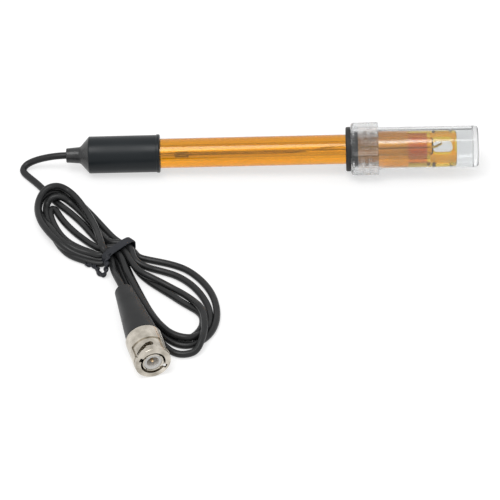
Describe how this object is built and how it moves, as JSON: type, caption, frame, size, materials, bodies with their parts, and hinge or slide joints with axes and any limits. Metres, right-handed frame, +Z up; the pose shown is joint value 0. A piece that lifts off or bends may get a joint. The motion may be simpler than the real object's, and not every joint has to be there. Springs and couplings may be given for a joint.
{
  "type": "redox probe",
  "caption": "Laboratory redox probe: amber tube with a glass stem and platinum tip, dark handle, clear storage bottle on the tip, and a tied cable with a bayonet coaxial plug.",
  "frame": {"origin": "on the surface that the probe lies on, below the middle of the probe itself", "axes": "+X along the probe from its cable end to its tip, in plan; +Z up; the plug and the bundle lie on the -Y side"},
  "size_m": [0.1859, 0.1366, 0.0216],
  "materials": {
    "amber_plastic": "clear moulded amber plastic",
    "stem_glass": "clear glass",
    "platinum": "bare drawn wire",
    "lead_wire": "tinned wire",
    "silver_wire": "silver wire, dull grey coat",
    "sleeve_plastic": "pale sleeve",
    "junction_ceramic": "porous ceramic",
    "gel": "clear gel",
    "potting": "cast potting",
    "handle_plastic": "smooth blue-black plastic",
    "relief_rubber": "shiny, slightly wrinkled rubber",
    "copper": "bare copper",
    "crimp_metal": "tinned crimp",
    "clear_plastic": "clear moulded plastic",
    "seal_rubber": "black rubber",
    "cable_jacket": "dark grey jacket with a soft sheen",
    "tie_plastic": "black plastic-coated wire",
    "boot_plastic": "dark soft plastic",
    "nickel": "bright nickel plate",
    "gasket_rubber": "silicone rubber",
    "insulator_plastic": "white plastic",
    "pin_metal": "plated pin"
  },
  "bodies": {
    "probe": {"body_tube": "amber_plastic", "tip_guard": "amber_plastic", "glass_stem": "stem_glass", "platinum_wire": "platinum", "sensor_lead": "lead_wire", "reference_wire": "silver_wire", "reference_sleeve": "sleeve_plastic", "reference_junction": "junction_ceramic", "electrolyte_gel": "gel", "top_plug": "potting", "handle_cap": "handle_plastic", "strain_relief": "relief_rubber", "core_tail": "copper", "screen_tail": "copper", "core_splice": "crimp_metal", "screen_splice": "crimp_metal", "cable_exit": "cable_jacket", "cable_hank": "cable_jacket", "cable_tail": "cable_jacket", "twist_tie": "tie_plastic", "connector_body": "nickel", "gasket": "gasket_rubber", "retaining_ring": "crimp_metal", "insulator": "insulator_plastic", "centre_pin": "pin_metal", "plug_core": "copper", "crimp_ferrule": "nickel", "connector_boot": "boot_plastic"},
    "bottle": {"storage_bottle": "clear_plastic"},
    "seal": {"seal_ring": "seal_rubber"},
    "cap": {"screw_cap": "clear_plastic"},
    "washer": {"spring_washer": "crimp_metal"},
    "nut": {"coupling_nut": "nickel"}
  },
  "joints": [
    {"name": "storage_pull", "type": "slide", "parent": "probe", "child": "bottle", "axis": [0.9996, 0, 0.0295], "range_m": [0, 0.06]},
    {"name": "seal_travel", "type": "slide", "parent": "bottle", "child": "seal", "axis": [-0.9996, 0, -0.0295], "range_m": [0, 0.0091]},
    {"name": "cap_turn", "type": "hinge", "parent": "seal", "child": "cap", "pos_m": [0.03649, 0, 0.01075], "axis": [-0.9996, 0, -0.0295], "range_deg": [0, 1080]},
    {"name": "nut_push", "type": "slide", "parent": "probe", "child": "washer", "axis": [0.284, -0.9588, 0], "range_m": [0, 0.0007], "stiffness_N_per_m": 500, "springref_m": -0.002},
    {"name": "nut_turn", "type": "hinge", "parent": "washer", "child": "nut", "pos_m": [-0.04794, -0.11739, 0.0072], "axis": [0.284, -0.9588, 0], "continuous": true}
  ],
  "couplings": [
    {"joint": "seal_travel", "follows": "cap_turn", "m_per_rad": 0.00047746}
  ]
}
